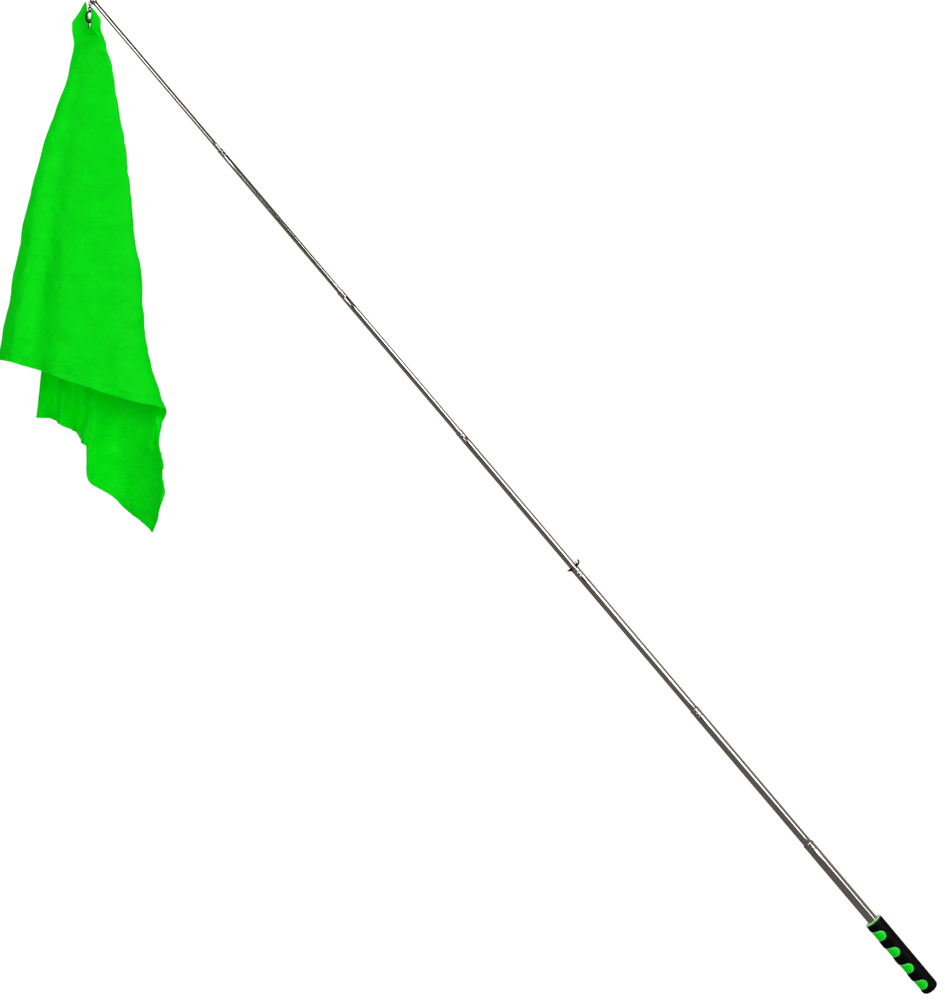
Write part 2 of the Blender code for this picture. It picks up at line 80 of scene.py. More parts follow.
CLIP_WALL, CLIP_LOW, CLIP_HIGH, CLIP_OPENING = 1.6 * MM, 0.6 * MM, 4.2 * MM, 7.4 * MM

# ------------------------------------------------ sizes of the finer model only
GROOVE_DEPTH, GROOVE_WIDTH = 0.28 * MM, 1.5 * MM   # deeper and wider than in the part
HEM, HEM_HALF, CLOTH_HALF = 11 * MM, 0.45 * MM, 0.22 * MM
STITCH_PITCH, STITCH_INSET, STITCH_RADIUS = 3 * MM, 1.5 * MM, 0.28 * MM

POLE = Matrix.Rotation(LEAN - math.pi / 2, 4, "Y")
ALONG = Vector((-math.cos(LEAN), 0, math.sin(LEAN)))
FINGER_SIDE = Vector((-math.sin(LEAN), 0, -math.cos(LEAN)))
DOWN = Vector((0, 0, -1))


def diameter(number):
    """Outer diameter of tube 1 (the base) to 7 (the tip)."""
    return BASE_DIAMETER if number == 1 else SECOND_DIAMETER - (number - 2) * 2 * (WALL + SLIDE_GAP)


def mouth(number):
    """Height of a tube's upper end above the grip's flat end."""
    return GRIP_LENGTH + sum(EXPOSED[:number])


def foot(number):
    """Height of a tube's lower end."""
    return GRIP_FLOOR + TUBE_STAND if number == 1 else mouth(number - 1) - INSERTION


BALL_HEIGHT = mouth(7) + BALL_STAND
EYE = ALONG * BALL_HEIGHT + FINGER_SIDE * EYE_OFFSET
LINK = EYE + DOWN * (EYE_RADIUS - EYE_WIRE - LINK_WIRE - GAP + LINK_RADIUS)
HOOK_EYE = LINK + DOWN * (LINK_RADIUS - LINK_WIRE - GAP - HOOK_EYE_WIRE + HOOK_EYE_RADIUS)
LOOP = HOOK_EYE + DOWN * (HOOK_EYE_RADIUS + 1.5 * MM + LOOP_HEIGHT)
HANG = LOOP + DOWN * LOOP_HEIGHT
GROMMET = HANG + DOWN * (HOLE_RADIUS - HOOK_WIRE - HANG_GAP)
FACE = Vector((7.0, 3.9, 0)).normalized()      # grommet's axis
FACE_TURN = Matrix.Translation(GROMMET) @ FACE.to_track_quat("Z", "Y").to_matrix().to_4x4()


# ------------------------------------------------ materials
def node(tree, kind, inputs=None, **settings):
    """A node with its settings, and its inputs given as values or as other nodes' outputs."""
    made = tree.nodes.new(kind)
    for key, value in settings.items():
        setattr(made, key, value)
    for key, value in (inputs or {}).items():
        if isinstance(value, bpy.types.NodeSocket):
            tree.links.new(value, made.inputs[key])
        else:
            made.inputs[key].default_value = value
    return made


def look(name, colour, worn, rough, metallic=0.0, stretch=(1, 1, 1), patch=60, grain=900,
         bump=0.1, depth=0.0001, **sockets):
    """A surface whose colour and roughness wander in patches, with a fine raised grain.

    rough is the lowest and highest roughness, and stretch the pattern's scale on each axis."""
    made = bpy.data.materials.new(name)
    made.use_nodes = True
    tree = made.node_tree
    shader = tree.nodes["Principled BSDF"]
    shader.inputs["Metallic"].default_value = metallic
    for key, value in sockets.items():
        shader.inputs[key.replace("_", " ")].default_value = value
    place = node(tree, "ShaderNodeTexCoord").outputs["Object"]
    place = node(tree, "ShaderNodeMapping", {"Vector": place, "Scale": stretch}).outputs["Vector"]
    broad = node(tree, "ShaderNodeTexNoise", {"Vector": place, "Scale": patch, "Detail": 4.0})
    fine = node(tree, "ShaderNodeTexNoise", {"Vector": place, "Scale": grain, "Detail": 3.0})
    share = node(tree, "ShaderNodeMapRange", {"Value": broad.outputs["Fac"],
                                              "From Min": 0.35, "From Max": 0.65})
    tint = node(tree, "ShaderNodeMix", {"Factor": share.outputs["Result"]}, data_type="RGBA")
    colours = [s for s in tint.inputs if s.type == "RGBA"]
    colours[0].default_value, colours[1].default_value = (*colour, 1), (*worn, 1)
    both = node(tree, "ShaderNodeMath", {0: broad.outputs["Fac"], 1: fine.outputs["Fac"]}, operation="ADD")
    dull = node(tree, "ShaderNodeMapRange", {"Value": both.outputs["Value"],
                                             "From Min": 0.7, "From Max": 1.3,
                                             "To Min": rough[0], "To Max": rough[1]})
    raised = node(tree, "ShaderNodeBump", {"Height": fine.outputs["Fac"],
                                           "Strength": bump, "Distance": depth})
    tree.links.new([s for s in tint.outputs if s.type == "RGBA"][0], shader.inputs["Base Color"])
    tree.links.new(dull.outputs["Result"], shader.inputs["Roughness"])
    tree.links.new(raised.outputs["Normal"], shader.inputs["Normal"])
    return made


def cloth_look(name, colour, shade):
    """Plain-weave nylon: fine crossing threads, crumples of two sizes and a soft sheen. The colour darkens
    where the crumple bumps sink, a painted shade in the hollows, and the emission is a painted glow that
    evens out the cloth's shading.
    """
    made = bpy.data.materials.new(name)
    made.use_nodes = True
    tree = made.node_tree
    shader = tree.nodes["Principled BSDF"]
    shader.inputs["Sheen Weight"].default_value = 0.06
    shader.inputs["Sheen Roughness"].default_value = 0.4
    shader.inputs["Sheen Tint"].default_value = (0.05, 1.0, 0.1, 1)
    shader.inputs["Specular IOR Level"].default_value = 0.05
    # The cloth's emission is a painted glow that stands in for light coming through the thin cloth.
    shader.inputs["Emission Color"].default_value = (0.0, 0.8, 0.006, 1)
    shader.inputs["Emission Strength"].default_value = 0.22
    flat = node(tree, "ShaderNodeUVMap", uv_map="flat").outputs["UV"]
    threads = [node(tree, "ShaderNodeTexWave", {"Vector": flat, "Scale": 420.0, "Distortion": 0.6,
                                                "Detail": 1.0}, bands_direction=way) for way in ("X", "Y")]
    weave = node(tree, "ShaderNodeMath", {0: threads[0].outputs["Fac"], 1: threads[1].outputs["Fac"]},
                 operation="MAXIMUM")
    crumple = node(tree, "ShaderNodeTexNoise", {"Vector": flat, "Scale": 38.0, "Detail": 5.0,
                                                "Roughness": 0.55})
    crease = node(tree, "ShaderNodeTexVoronoi", {"Vector": flat, "Scale": 17.0}, feature="SMOOTH_F1")
    # Painted shade: the colour goes to the darker green where the crumple noise, which also raises the
    # bump, is low.
    painted_crumple_shade = node(tree, "ShaderNodeMapRange", {"Value": crumple.outputs["Fac"],
                                             "From Min": 0.3, "From Max": 0.7})
    tint = node(tree, "ShaderNodeMix", {"Factor": painted_crumple_shade.outputs["Result"]}, data_type="RGBA")
    colours = [s for s in tint.inputs if s.type == "RGBA"]
    colours[0].default_value, colours[1].default_value = (*shade, 1), (*colour, 1)
    dull = node(tree, "ShaderNodeMapRange", {"Value": weave.outputs["Value"],
                                             "To Min": 0.62, "To Max": 0.44})
    first = node(tree, "ShaderNodeBump", {"Height": crease.outputs["Distance"],
                                          "Strength": 0.5, "Distance": 0.005})
    second = node(tree, "ShaderNodeBump", {"Height": crumple.outputs["Fac"],
                                           "Strength": 0.9, "Distance": 0.004,
                                           "Normal": first.outputs["Normal"]})
    third = node(tree, "ShaderNodeBump", {"Height": weave.outputs["Value"],
                                          "Strength": 0.25, "Distance": 0.0002,
                                          "Normal": second.outputs["Normal"]})
    tree.links.new([s for s in tint.outputs if s.type == "RGBA"][0], shader.inputs["Base Color"])
    tree.links.new(dull.outputs["Result"], shader.inputs["Roughness"])
    tree.links.new(third.outputs["Normal"], shader.inputs["Normal"])
    return made


STEEL = look("polished_steel", (0.70, 0.63, 0.56), (0.60, 0.53, 0.47), (0.03, 0.09), 1.0,
             stretch=(1, 1, 0.05), patch=160, grain=2600, bump=0.05, depth=0.00003)
BALL_STEEL = look("ball_steel", (0.50, 0.46, 0.42), (0.36, 0.33, 0.30), (0.07, 0.2), 1.0,
                  patch=220, grain=3000, bump=0.05, depth=0.00005)
BRONZE = look("spring_bronze", (0.70, 0.45, 0.22), (0.5, 0.3, 0.14), (0.3, 0.45), 1.0)
BLACK_METAL = look("black_metal", (0.002, 0.002, 0.002), (0.008, 0.008, 0.0085), (0.2, 0.36),
                   patch=350, grain=2500, bump=0.12, depth=0.0001, Specular_IOR_Level=0.18)
# The nickel's base colour is tinted green: a painted reflection of the green cloth round the grommet.
NICKEL_PAINTED_GREEN_REFLECTION = look("nickel", (0.34, 0.42, 0.31), (0.2, 0.26, 0.18), (0.22, 0.4), 1.0, patch=300, grain=2400,
              bump=0.1, depth=0.00008)
BLACK_RUBBER = look("black_rubber", (0.001, 0.001, 0.0011), (0.004, 0.0037, 0.0039), (0.4, 0.6), patch=90,
                    grain=1800, bump=0.45, depth=0.00025, Specular_IOR_Level=0.08)
# Green rubber's emission is a painted glow: it brightens the green beyond what the lights give.
GREEN_RUBBER = look("green_rubber", (0.0, 0.9, 0.015), (0.002, 0.78, 0.012), (0.4, 0.55),
                    patch=120, grain=1700, bump=0.3, depth=0.0002, Specular_IOR_Level=0.2,
                    Emission_Color=(0, 0.85, 0.015, 1), Emission_Strength=0.3)


def add_painted_edge_highlight_and_shade(material, pale, dark):
    """Painted highlight and shade on the moulded edges: paler where the mesh's per-point edge value is
    high (a painted highlight), and darker where it is low (a painted shade). The mixed colour also feeds
    the emission, so these edges glow.
    """
    tree = material.node_tree
    shader = tree.nodes["Principled BSDF"]
    plain = shader.inputs["Base Color"].links[0].from_socket
    edge_highlight_and_shade = node(tree, "ShaderNodeAttribute", attribute_name="edge_highlight_and_shade").outputs["Fac"]
    low = node(tree, "ShaderNodeMath", {0: edge_highlight_and_shade, 1: -1.0}, operation="MULTIPLY")
    for share, colour in ((edge_highlight_and_shade, pale), (low.outputs["Value"], dark)):
        kept = node(tree, "ShaderNodeMapRange", {"Value": share})
        mix = node(tree, "ShaderNodeMix", {"Factor": kept.outputs["Result"]}, data_type="RGBA")
        ends = [socket for socket in mix.inputs if socket.type == "RGBA"]
        tree.links.new(plain, ends[0])
        ends[1].default_value = (*colour, 1)
        plain = [socket for socket in mix.outputs if socket.type == "RGBA"][0]
    tree.links.new(plain, shader.inputs["Base Color"])
    tree.links.new(plain, shader.inputs["Emission Color"])


# The pads' pale outlines and the head's pale top edges are a painted highlight; the head's dark side wall
# is painted shade.
add_painted_edge_highlight_and_shade(GREEN_RUBBER, (0.42, 0.9, 0.42), (0.0, 0.03, 0.004))
BLACK_PLASTIC = look("black_plastic", (0.003, 0.003, 0.003), (0.010, 0.010, 0.010), (0.3, 0.48), patch=250,
                     grain=2200, bump=0.2, depth=0.0001, Specular_IOR_Level=0.25)
# The second, darker green is the painted shade used in the crumple hollows.
GREEN_CLOTH = cloth_look("green_cloth", (0.0, 0.80, 0.006), (0.0, 0.70, 0.004))
GREEN_THREAD = look("green_thread", (0.0, 0.78, 0.01), (0.0, 0.62, 0.008), (0.5, 0.7),
                    patch=500, grain=5000, bump=0.4, depth=0.0001)


# ------------------------------------------------ shape helpers
def settle(obj):
    """Works the object's modifiers into its mesh."""
    bpy.context.view_layer.update()
    seen = obj.evaluated_get(bpy.context.evaluated_depsgraph_get())
    mesh = bpy.data.meshes.new_from_object(seen)
    obj.modifiers.clear()
    obj.data = mesh


def shown(name, shell, material, body, stands_for, place=Matrix.Identity(4), sharp=40):
    """A finished piece from a bmesh: placed, shaded, painted, and riding on its CAD body."""
    mesh = bpy.data.meshes.new(name)
    bmesh.ops.recalc_face_normals(shell, faces=shell.faces)
    shell.to_mesh(mesh)
    shell.free()
    obj = bpy.data.objects.new(name, mesh)
    bpy.context.scene.collection.objects.link(obj)
    obj.matrix_world = place
    dress(obj, material, sharp)
    if stands_for:
        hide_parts(stands_for)
    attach(obj, body)
    return obj


def dress(obj, material, sharp=40):
    """Gives the object its only material, and smooth shading except at sharp edges."""
    obj.data.materials.clear()
    obj.data.materials.append(material)
    obj.data.shade_smooth()
    obj.data.set_sharp_from_angle(angle=math.radians(sharp))


def modified(shell, *steps):
    """The bmesh after modifiers: each step is a kind and its settings. A Boolean's tool is a bmesh."""
    mesh = bpy.data.meshes.new("work")
    shell.to_mesh(mesh)
    shell.free()
    obj = bpy.data.objects.new("work", mesh)
    bpy.context.scene.collection.objects.link(obj)
    tools = []
    for kind, settings in steps:
        step = obj.modifiers.new(kind.lower(), kind)
        for key, value in settings.items():
            if isinstance(value, bmesh.types.BMesh):
                tool_mesh = bpy.data.meshes.new("tool")
                value.to_mesh(tool_mesh)
                value.free()
                value = bpy.data.objects.new("tool", tool_mesh)
                bpy.context.scene.collection.objects.link(value)
                tools.append(value)
            setattr(step, key, value)
    settle(obj)
    made = bmesh.new()
    made.from_mesh(obj.data)
    for old in (obj, *tools):
        bpy.data.objects.remove(old, do_unlink=True)
    return made


def softened(points, radius, steps=4, ring=True):
    """A profile with its corners rounded."""
    out = []
    for i, point in enumerate(points):
        if point[0] < 1e-7 or (not ring and i in (0, len(points) - 1)):
            out.append(tuple(point))
            continue
        here, last, following = Vector(point), Vector(points[i - 1]), Vector(points[(i + 1) % len(points)])
        start = here + (last - here).normalized() * min(radius, (last - here).length * 0.45)
        end = here + (following - here).normalized() * min(radius, (following - here).length * 0.45)
        for k in range(steps + 1):
            t = k / steps
            out.append(tuple(start * (1 - t) ** 2 + here * 2 * t * (1 - t) + end * t * t))
    return out


def turned(profile, sides=72, closed=True, shape=None):
    """A turned bmesh from (radius, height) points. shape(radius, angle, height) gives the radius there."""
    shell = bmesh.new()
    rings = []
    for radius, height in profile:
        if radius < 1e-7:
            rings.append([shell.verts.new((0, 0, height))])
            continue
        ring = []
        for i in range(sides):
            angle = 2 * math.pi * i / sides
            reach = shape(radius, angle, height) if shape else radius
            ring.append(shell.verts.new((reach * math.cos(angle), reach * math.sin(angle), height)))
        rings.append(ring)
    pairs = list(zip(rings, rings[1:])) + ([(rings[-1], rings[0])] if closed else [])
    for a, b in pairs:
        for i in range(sides):
            j = i + 1
            corners = list(dict.fromkeys((a[i % len(a)], b[i % len(b)], b[j % len(b)], a[j % len(a)])))
            if len(corners) > 2:
                shell.faces.new(corners)
    bmesh.ops.recalc_face_normals(shell, faces=shell.faces)
    return shell


def swept(shell, points, radius, sides=20, ring=False):
    """Adds a round wire along the points, with rounded ends unless it is a ring."""
    points = [Vector(p) for p in points]
    count = len(points)
    if ring:
        ways = [(points[(i + 1) % count] - points[i - 1]).normalized() for i in range(count)]
    else:
        ways = [(points[min(i + 1, count - 1)] - points[max(i - 1, 0)]).normalized() for i in range(count)]
    stations = [(p, w, radius) for p, w in zip(points, ways)]
    if not ring:
        caps = [math.radians(a) for a in (75, 50, 25)]
        first = [(points[0] - ways[0] * radius * math.sin(a), ways[0], radius * math.cos(a)) for a in caps]
        last = [(points[-1] + ways[-1] * radius * math.sin(a), ways[-1], radius * math.cos(a))
                for a in reversed(caps)]
        stations = first + stations + last
    side = stations[0][1].orthogonal().normalized()
    rings = []
    for place, way, size in stations:
        side = (side - way * side.dot(way)).normalized()
        other = way.cross(side)
        rings.append([shell.verts.new(place + (side * math.cos(a) + other * math.sin(a)) * size)
                      for a in (2 * math.pi * i / sides for i in range(sides))])
    for a, b in list(zip(rings, rings[1:])) + ([(rings[-1], rings[0])] if ring else []):
        for i in range(sides):
            j = (i + 1) % sides
            shell.faces.new((a[i], a[j], b[j], b[i]))
    if not ring:
        shell.faces.new(reversed(rings[0]))
        shell.faces.new(rings[-1])
    return shell


def fused(shell, grain):
    """Overlapping closed forms made one smooth casting."""
    return modified(shell, ("REMESH", {"mode": "VOXEL", "voxel_size": grain, "use_smooth_shade": True}),
                    ("SMOOTH", {"factor": 0.5, "iterations": 6}))


def circle(radius, normal, centre=Vector((0, 0, 0)), count=64):
    """Points of a circle square to its normal."""
    turn = Vector((0, 0, 1)).rotation_difference(Vector(normal))
    return [centre + turn @ Vector((radius * math.cos(a), radius * math.sin(a), 0))
            for a in (2 * math.pi * i / count for i in range(count))]


def plate(shell, centre, radius, thickness, sides=40):
    """Adds a disc that faces along Y."""
    turn = Matrix.Translation(centre) @ Matrix.Rotation(math.pi / 2, 4, "X")
    bmesh.ops.create_cone(shell, cap_ends=True, segments=sides, radius1=radius, radius2=radius,
                          depth=thickness, matrix=turn)


def curve_through(points, steps):
    """Catmull-Rom points through the given ones."""
    points = [np.array(p, float) for p in points]
    padded = [2 * points[0] - points[1], *points, 2 * points[-1] - points[-2]]
    out = []
    for a, b, c, d in zip(padded, padded[1:], padded[2:], padded[3:]):
        for k in range(steps):
            t = k / steps
            out.append(0.5 * (2 * b + (c - a) * t + (2 * a - 5 * b + 4 * c - d) * t * t
                              + (3 * b - a - 3 * c + d) * t ** 3))
    return out + [points[-1]]


def smoothly(low, high, value):
    """0 below low, 1 above high, and an even change in between."""
    t = min(1.0, max(0.0, (value - low) / (high - low)))
    return t * t * (3 - 2 * t)


# ------------------------------------------------ telescopic pole
def make_tube(number):
    """A tube with its necked foot, and with a rolled mouth and crimp grooves on all but the last."""
    outer = diameter(number) / 2
    wall = BASE_WALL if number == 1 else WALL
    length = mouth(number) - foot(number)
    if number < 7:
        top = [(outer + 0.4 * LIP, length), (outer + LIP, length - 0.3 * MM),
               (outer + LIP, length - 1.5 * MM), (outer, length - 2.1 * MM)]
        for down in GROOVES:
            for share in (0.5, 0.25, 0, -0.25, -0.5):
                dip = GROOVE_DEPTH * math.cos(math.pi * share) ** 2
                top.append((outer - dip, length - down + share * GROOVE_WIDTH))
    else:
        top = [(outer, length)]
    runs = [(outer, length * k / 8) for k in range(7, 0, -1)]
    profile = softened(top, 0.12 * MM, 3, ring=False) + runs
    if number > 1:
        neck = outer - NECK_STEP
        profile += [(outer, NECK_LENGTH + 1 * MM), (neck, NECK_LENGTH), (neck, 0), (neck - WALL, 0),
                    (neck - WALL, NECK_LENGTH), (outer - WALL, NECK_LENGTH + 1 * MM)]
    else:
        profile += [(outer, 0), (outer - wall, 0)]
    profile.append((outer - wall, length))
    body = "grip" if number == 1 else f"section_{number}"
    shown(f"steel_tube_{number}", turned(profile, 64), STEEL, body, f"tube_{number}",
          POLE @ Matrix.Translation((0, 0, foot(number))), sharp=50)


# ------------------------------------------------ grip
def grip_radius(height):
    return GRIP_END_RADIUS + (GRIP_TOP_RADIUS - GRIP_END_RADIUS) * height / GRIP_LENGTH


def finger_swell(radius, angle, height):
    """Low ridges between the windows, on the finger side, that die out round the back."""
    if radius < GRIP_END_RADIUS - GRIP_SKIN + 0.6 * MM:
        return radius
    toward = max(0.0, -math.cos(angle)) ** 0.7
    wave = -math.cos(2 * math.pi * (GRIP_LENGTH - FIRST_WINDOW - height) / WINDOW_PITCH)
    ends = smoothly(GRIP_LENGTH - 10 * MM, GRIP_LENGTH - 4 * MM, height)
    fade = smoothly(3 * MM, 14 * MM, height) * (1 - ends)
    return radius + 0.4 * MM * wave * toward * fade


def inside_window(x, height):
    """How far inside the nearest window's outline a point is, seen square on."""
    best = -1.0
    for number in range(WINDOWS):
        up = height - (GRIP_LENGTH - FIRST_WINDOW - number * WINDOW_PITCH)
        c, s = math.cos(WINDOW_SLANT), math.sin(WINDOW_SLANT)
        out, rise = (x + WINDOW_REACH) * c - up * s, (x + WINDOW_REACH) * s + up * c
        wide = WINDOW_RADIUS - WINDOW_FLARE * min(out, 0)
        best = max(best, wide - (abs(rise) if out < 0 else math.hypot(out, rise)))
    return best


def core_pads(radius, angle, height):
    """The green core stands up in each window as a crowned pad."""
    if radius < GRIP_END_RADIUS - GRIP_SKIN - 0.6 * MM or height > GRIP_LENGTH - RIM_HEIGHT - 1 * MM:
        return radius
    x = (radius + GRIP_SKIN) * math.cos(angle)
    rise = GRIP_SKIN + GAP - 0.35 * MM
    return radius + rise * smoothly(0.35 * MM, 1.9 * MM, inside_window(x, height))


def window_tool(number):
    """A flat bar with a round end, laid across the finger side."""
    shell = bmesh.new()
    arc = [(WINDOW_RADIUS * math.cos(a), WINDOW_RADIUS * math.sin(a))
           for a in (math.pi * (i / 32 - 0.5) for i in range(33))]
    deep = 3 * GRIP_TOP_RADIUS
    wide = WINDOW_RADIUS + WINDOW_FLARE * deep
    outline = [(-deep, -wide), *arc, (-deep, wide)]
    middle = Matrix.Translation((-WINDOW_REACH, 0, GRIP_LENGTH - FIRST_WINDOW - number * WINDOW_PITCH))
    turn = middle @ Matrix.Rotation(WINDOW_SLANT, 4, "Y")
    front = [shell.verts.new(turn @ Vector((x, -2 * GRIP_TOP_RADIUS, z))) for x, z in outline]
    back = [shell.verts.new(turn @ Vector((x, 2 * GRIP_TOP_RADIUS, z))) for x, z in outline]
    shell.faces.new(front)
    shell.faces.new(reversed(back))
    for i in range(len(outline)):
        j = (i + 1) % len(outline)
        shell.faces.new((front[j], front[i], back[i], back[j]))
    bmesh.ops.recalc_face_normals(shell, faces=shell.faces)
    return shell


def make_grip():
    """The black sleeve with its windows, and the green core that shows in them and at the rim."""
    top = GRIP_LENGTH - RIM_HEIGHT
    round_off = grip_radius(0) - GRIP_FLAT
    dome = [(GRIP_FLAT + round_off * math.cos(a), GRIP_DOME * (1 - math.sin(a)))
            for a in (math.pi / 2 * i / 14 for i in range(15))]
    inside = [(0, GRIP_FLOOR), (grip_radius(0) - GRIP_SKIN - 2 * MM, GRIP_FLOOR),
              (grip_radius(0) - GRIP_SKIN, GRIP_DOME), (grip_radius(top) - GRIP_SKIN, top)]
    shoulder = [(grip_radius(top) - 0.9 * MM, top), (grip_radius(top) - 0.3 * MM, top - 0.2 * MM),
                (grip_radius(top), top - 0.9 * MM)]
    runs = [(grip_radius(z), z) for z in (GRIP_DOME + (top - 1.5 * MM - GRIP_DOME) * k / 110
                                          for k in range(110, 0, -1))]
    shell = turned([*inside, *shoulder, *runs, *dome, (0, 0)], 160, closed=False, shape=finger_swell)
    cuts = [("BOOLEAN", {"operation": "DIFFERENCE", "solver": "EXACT", "object": window_tool(n)})
            for n in range(WINDOWS)]
    round_edges = ("BEVEL", {"width": 0.45 * MM, "segments": 3, "limit_method": "ANGLE",
                             "angle_limit": math.radians(50), "use_clamp_overlap": True})
    shell = modified(shell, *cuts, round_edges)
    shown("rubber_sleeve", shell, BLACK_RUBBER, "grip", "grip_sleeve", POLE, sharp=35)

    bore = BASE_DIAMETER / 2 + GAP
    low = GRIP_FLOOR + GAP
    skin = GRIP_SKIN + GAP
    full = grip_radius(GRIP_LENGTH)
    head = softened([(bore, GRIP_LENGTH), (full, GRIP_LENGTH), (full, top + GAP),
                     (grip_radius(top) - skin, top + GAP)], 0.7 * MM, 5, ring=False)
    start = GRIP_DOME + 1 * MM
    runs = [(grip_radius(z) - skin, z) for z in (start + (top - 1 * MM - GRIP_DOME - 1 * MM) * k / 150
                                                 for k in range(150, -1, -1))]
    foot_end = softened([(grip_radius(0) - skin, GRIP_DOME + GAP), (grip_radius(0) - skin - 2.2 * MM, low),
                         (bore, low)], 0.7 * MM, 5, ring=False)
    shell = turned([*head, *runs, *foot_end], 168, shape=core_pads)
    core = shown("green_core", shell, GREEN_RUBBER, "grip", "grip_core", POLE, sharp=50)
    # Per-point weight of the painted edge light: a painted highlight on a band round each pad's outline
    # (up to 0.8) and on the head's outer and inner top edges (1), painted shade on the head's side wall
    # (-1).
    edge_highlight_and_shade = core.data.attributes.new("edge_highlight_and_shade", "FLOAT", "POINT")
    for vertex, value in zip(core.data.vertices, edge_highlight_and_shade.data):
        x, y, z = vertex.co
        radius = math.hypot(x, y)
        if z < top:
            value.value = max(0.0, 0.8 - abs(inside_window(x, z) - 0.8 * MM) / (0.9 * MM))
        elif z > GRIP_LENGTH - 0.15 * MM:
            value.value = 1.0 if radius > full - 1.6 * MM or radius < bore + 1.2 * MM else 0.0
        else:
            value.value = -1.0 if radius > full - 1 * MM else 0.0


# ------------------------------------------------ tip, link, hook
def on_loop(angle):
    return Vector((LOOP_WIDTH * math.cos(angle), 0, LOOP_HEIGHT * math.sin(angle)))


def make_tip():
    shank = diameter(7) / 2 - WALL - GAP
    collar = diameter(7) / 2 + 0.3 * MM
    under = -BALL_STAND + GAP
    start = math.asin(0.55)
    ball = [(BALL_RADIUS * math.cos(a), BALL_RADIUS * math.sin(a))
            for a in (math.pi / 2 - (math.pi - start) * i / 36 for i in range(37))]
    ball[0] = (0, BALL_RADIUS)
    neck = softened([ball[-1], (collar, ball[-1][1] - 0.2 * MM), (collar, under), (shank, under),
                     (shank, under - 8 * MM), (0, under - 8 * MM)], 0.15 * MM, 3, ring=False)
    eye = swept(bmesh.new(), circle(EYE_RADIUS, (0, 1, 0), EYE), EYE_WIRE, 24, ring=True)
    eye.transform((POLE @ Matrix.Translation((0, 0, BALL_HEIGHT))).inverted())
    bmesh.ops.recalc_face_normals(eye, faces=eye.faces)
    shell = modified(turned([*ball[:-1], *neck], 72, closed=False),
                     ("BOOLEAN", {"operation": "UNION", "solver": "EXACT", "object": eye}))
    shown("tip_steel_ball", shell, BALL_STEEL, "section_7", "tip_ball",
          POLE @ Matrix.Translation((0, 0, BALL_HEIGHT)), sharp=40)


def make_link():
    shell = swept(bmesh.new(), circle(LINK_RADIUS, (1, 0, 0)), LINK_WIRE, 20, ring=True)
    shown("wire_link", shell, BLACK_METAL, "link", "link_ring", Matrix.Translation(LINK))


def make_hook():
    pivot = on_loop(GATE_TOP)
    start, end = math.radians(78), NOSE + 2 * math.pi
    arc = [on_loop(start + (end - start) * i / 70) for i in range(71)]
    shell = swept(bmesh.new(), arc, HOOK_WIRE, 24)
    swept(shell, circle(HOOK_EYE_RADIUS, (0, 1, 0), HOOK_EYE - LOOP), HOOK_EYE_WIRE, 20, ring=True)
    plate(shell, pivot, 1.15 * MM, 1.0 * MM)
    shoulder = on_loop(math.radians(80))
    for share in (0.25, 0.5, 0.75):
        plate(shell, pivot.lerp(shoulder, share), 0.85 * MM, 1.0 * MM)
    shown("cast_hook", fused(shell, 0.13 * MM), BLACK_METAL, "hook", "hook_body",
          Matrix.Translation(LOOP), sharp=180)

    chord = on_loop(GATE_END) - pivot
    out = chord.normalized()
    side = Vector((-out.z, 0, out.x))
    bow = [pivot + chord * t + side * (1.1 * MM * math.sin(math.pi * t)) for t in
           (0.17 + 0.83 * i / 24 for i in range(25))]
    shell = swept(bmesh.new(), [p - pivot for p in bow], 1.15 * MM, 24)
    for way in (-1, 1):
        ear = [Vector((0, way * 1.0 * MM, 0)) + out * s * MM for s in (0, 0.7, 1.4, 2.0)]
        for place in ear:
            plate(shell, place, 1.0 * MM, 0.36 * MM)
    shown("hook_gate_arm", fused(shell, 0.09 * MM), BLACK_METAL, "gate", "hook_gate",
          Matrix.Translation(LOOP + pivot), sharp=180)


# ------------------------------------------------ sliding clip
def make_clip():
    """A snap-on collar, open at the front, with a barbed hook arm and a stub."""
    bore = diameter(4) / 2 + GAP
    outer = bore + CLIP_WALL
    collar = softened([(outer, CLIP_HIGH), (outer, CLIP_LOW), (bore, CLIP_LOW), (bore, CLIP_HIGH)],
                      0.5 * MM, 5)
    slot = bmesh.new()
    bmesh.ops.create_cube(slot, size=1, matrix=Matrix.Translation((0, -outer, 0))
                          @ Matrix.Diagonal((CLIP_OPENING, 2 * outer, 20 * MM, 1)))
    shell = modified(turned(collar, 72),
                     ("BOOLEAN", {"operation": "DIFFERENCE", "solver": "EXACT", "object": slot}))
    arms = [(((5.4, 0, 2.2), (7.4, 0, 2.4), (8.8, 0, 3.2), (9.6, 0, 4.6), (9.7, 0, 6.2)), 1.0),
            (((6.0, 0, 3.0), (6.2, 0, 4.6), (5.9, 0, 6.4)), 0.6),
            (((-5.4, 0, 2.5), (-6.8, 0, 3.0), (-7.8, 0, 3.8)), 1.0)]
    for points, radius in arms:
        swept(shell, [Vector(p) * MM for p in curve_through(points, 6)], radius * MM, 20)
    shown("plastic_clip", fused(shell, 0.16 * MM), BLACK_PLASTIC, "clip", "pole_clip",
          POLE @ Matrix.Translation((0, 0, mouth(3))), sharp=180)


